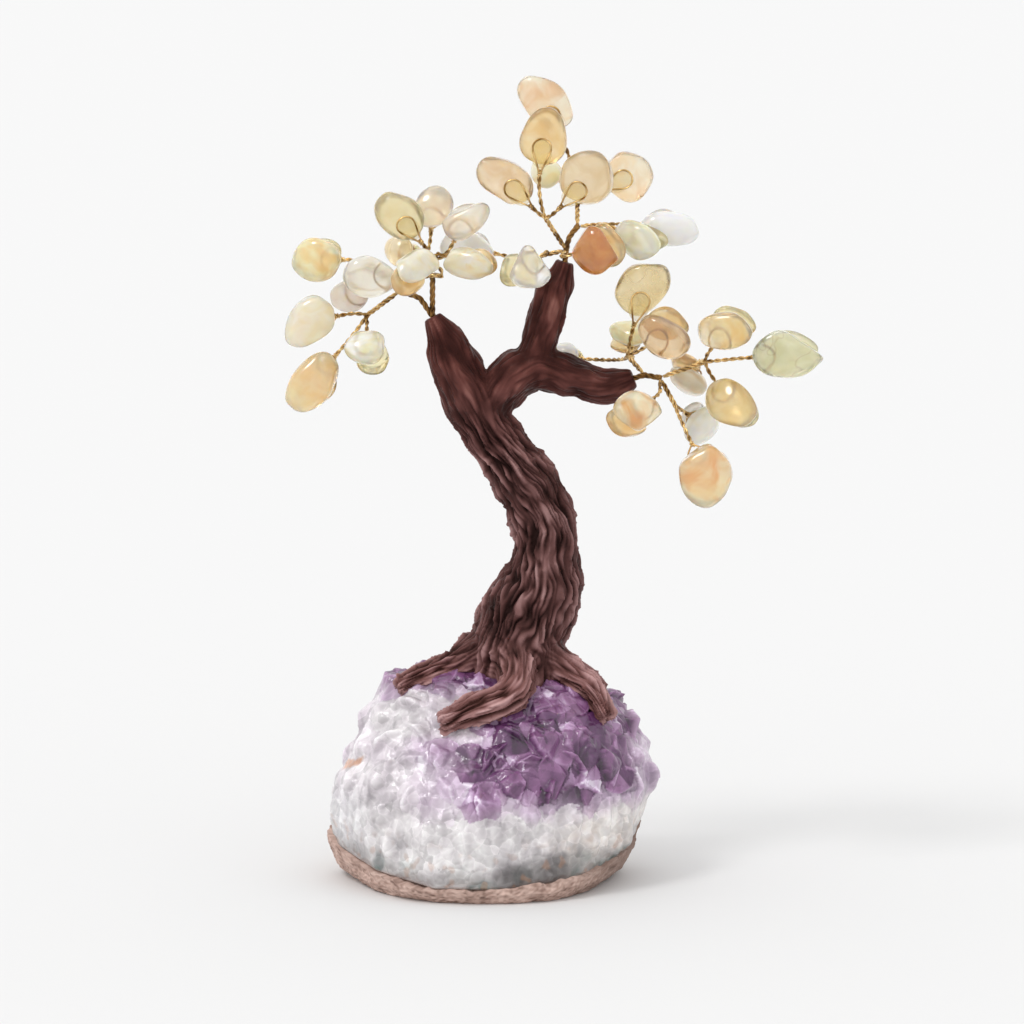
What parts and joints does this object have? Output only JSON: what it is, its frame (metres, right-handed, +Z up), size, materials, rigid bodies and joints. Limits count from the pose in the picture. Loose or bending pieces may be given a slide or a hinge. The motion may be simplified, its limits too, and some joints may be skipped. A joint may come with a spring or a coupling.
{
  "type": "gemstone tree ornament",
  "caption": "Small ornamental tree: a moulded dark trunk gripping an amethyst geode, with twisted gold wire twigs and polished citrine chips as leaves",
  "frame": {"origin": "middle of the geode's flat underside", "axes": "+Z up along the tree, +X to the viewer's right, front of the tree toward -Y"},
  "size_m": [0.1087, 0.0581, 0.1629],
  "materials": {
    "citrine_yellow": "tumbled and polished translucent yellow quartz",
    "citrine_orange": "tumbled and polished translucent orange quartz",
    "citrine_peach": "tumbled and polished milky peach quartz",
    "citrine_clear": "tumbled and polished nearly clear quartz",
    "citrine_green": "tumbled and polished greenish yellow quartz",
    "wire": "gold-coloured enamel over copper wire, twisted",
    "putty": "hand-modelled resin putty, dark mahogany brown, satin",
    "geode": "raw amethyst and milky quartz",
    "rind": "rough basalt skin, ground flat underneath"
  },
  "bodies": {
    "stand": {"geode_quartz": "geode", "geode_rind": "rind", "trunk": "putty", "wire_bundle_left": "wire", "wire_bundle_right": "wire", "wire_bundle_top": "wire", "wire_core": "wire"},
    "left_low": {"twig_left_low": "wire", "leaf_left_low_1": "citrine_peach", "leaf_left_low_2": "citrine_yellow", "leaf_left_low_3": "citrine_yellow"},
    "left_mid": {"twig_left_mid": "wire", "leaf_left_mid_1": "citrine_orange", "leaf_left_mid_2": "citrine_peach"},
    "left_high": {"twig_left_high": "wire", "leaf_left_high_1": "citrine_green", "leaf_left_high_2": "citrine_peach", "leaf_left_high_3": "citrine_clear"},
    "left_right": {"twig_left_right": "wire", "leaf_left_right_1": "citrine_peach", "leaf_left_right_2": "citrine_peach"},
    "left_front": {"twig_left_front": "wire", "leaf_left_front_1": "citrine_peach", "leaf_left_front_2": "citrine_clear"},
    "top_left": {"twig_top_left": "wire", "leaf_top_left_1": "citrine_yellow", "leaf_top_left_2": "citrine_yellow", "leaf_top_left_3": "citrine_yellow"},
    "top_right": {"twig_top_right": "wire", "leaf_top_right_1": "citrine_peach", "leaf_top_right_2": "citrine_clear", "leaf_top_right_3": "citrine_orange"},
    "top_far": {"twig_top_far": "wire", "leaf_top_far_1": "citrine_yellow", "leaf_top_far_2": "citrine_clear"},
    "top_low": {"twig_top_low": "wire", "leaf_top_low_1": "citrine_clear", "leaf_top_low_2": "citrine_clear"},
    "top_front": {"twig_top_front": "wire", "leaf_top_front_1": "citrine_orange"},
    "right_up": {"twig_right_up": "wire", "leaf_right_up_1": "citrine_green", "leaf_right_up_2": "citrine_clear", "leaf_right_up_3": "citrine_orange", "leaf_right_up_4": "citrine_yellow"},
    "right_far": {"twig_right_far": "wire", "leaf_right_far_1": "citrine_yellow", "leaf_right_far_2": "citrine_green", "leaf_right_far_3": "citrine_yellow", "leaf_right_far_4": "citrine_yellow"},
    "right_down": {"twig_right_down": "wire", "leaf_right_down_1": "citrine_orange", "leaf_right_down_2": "citrine_green"},
    "right_front": {"twig_right_front": "wire", "leaf_right_front_1": "citrine_peach"}
  },
  "joints": [
    {"name": "left_low_bend", "type": "hinge", "parent": "stand", "child": "left_low", "pos_m": [-0.01961, -0.00175, 0.11838], "axis": [-0.292, 0.9349, -0.202], "range_deg": [-18, 18]},
    {"name": "left_mid_bend", "type": "hinge", "parent": "stand", "child": "left_mid", "pos_m": [-0.01895, 0.00071, 0.12026], "axis": [0.636, 0.58, -0.509], "range_deg": [-18, 18]},
    {"name": "left_high_bend", "type": "hinge", "parent": "stand", "child": "left_high", "pos_m": [-0.01248, 0.00247, 0.12363], "axis": [0.46, 0.7131, -0.5291], "range_deg": [-18, 14]},
    {"name": "left_right_bend", "type": "hinge", "parent": "stand", "child": "left_right", "pos_m": [-0.01095, 0.001, 0.12453], "axis": [0, 1, 0], "range_deg": [-18, 18]},
    {"name": "left_front_bend", "type": "hinge", "parent": "stand", "child": "left_front", "pos_m": [-0.01101, -0.00103, 0.12269], "axis": [0.9027, 0.2489, 0.3509], "range_deg": [-18, 18]},
    {"name": "top_left_bend", "type": "hinge", "parent": "stand", "child": "top_left", "pos_m": [0.01422, -0.00093, 0.12921], "axis": [-0.8541, 0, -0.5201], "range_deg": [-18, 14]},
    {"name": "top_right_bend", "type": "hinge", "parent": "stand", "child": "top_right", "pos_m": [0.0175, 0.00438, 0.13358], "axis": [-0.707, -0.532, 0.466], "range_deg": [-18, 18]},
    {"name": "top_far_bend", "type": "hinge", "parent": "stand", "child": "top_far", "pos_m": [0.01955, 0.00259, 0.1322], "axis": [0.1, 0, -0.995], "range_deg": [-18, 14]},
    {"name": "top_low_bend", "type": "hinge", "parent": "stand", "child": "top_low", "pos_m": [0.0132, -0.0005, 0.1272], "axis": [0.2331, -0.9713, 0.047], "range_deg": [-5, 18]},
    {"name": "top_front_bend", "type": "hinge", "parent": "stand", "child": "top_front", "pos_m": [0.0147, -0.002, 0.1272], "axis": [-0.7438, 0.3049, -0.5948], "range_deg": [-18, 18]},
    {"name": "right_up_bend", "type": "hinge", "parent": "stand", "child": "right_up", "pos_m": [0.02972, -0.00073, 0.1039], "axis": [-0.7609, 0, -0.6489], "range_deg": [-18, 18]},
    {"name": "right_far_bend", "type": "hinge", "parent": "stand", "child": "right_far", "pos_m": [0.03598, -0.001, 0.1027], "axis": [0.2371, 0.7072, -0.6661], "range_deg": [-18, 11]},
    {"name": "right_down_bend", "type": "hinge", "parent": "stand", "child": "right_down", "pos_m": [0.03501, -0.001, 0.10016], "axis": [0.6209, 0.7069, 0.3389], "range_deg": [-18, 11]},
    {"name": "right_front_bend", "type": "hinge", "parent": "stand", "child": "right_front", "pos_m": [0.034, -0.00292, 0.10115], "axis": [0, 0.406, -0.9139], "range_deg": [-18, 18]}
  ]
}
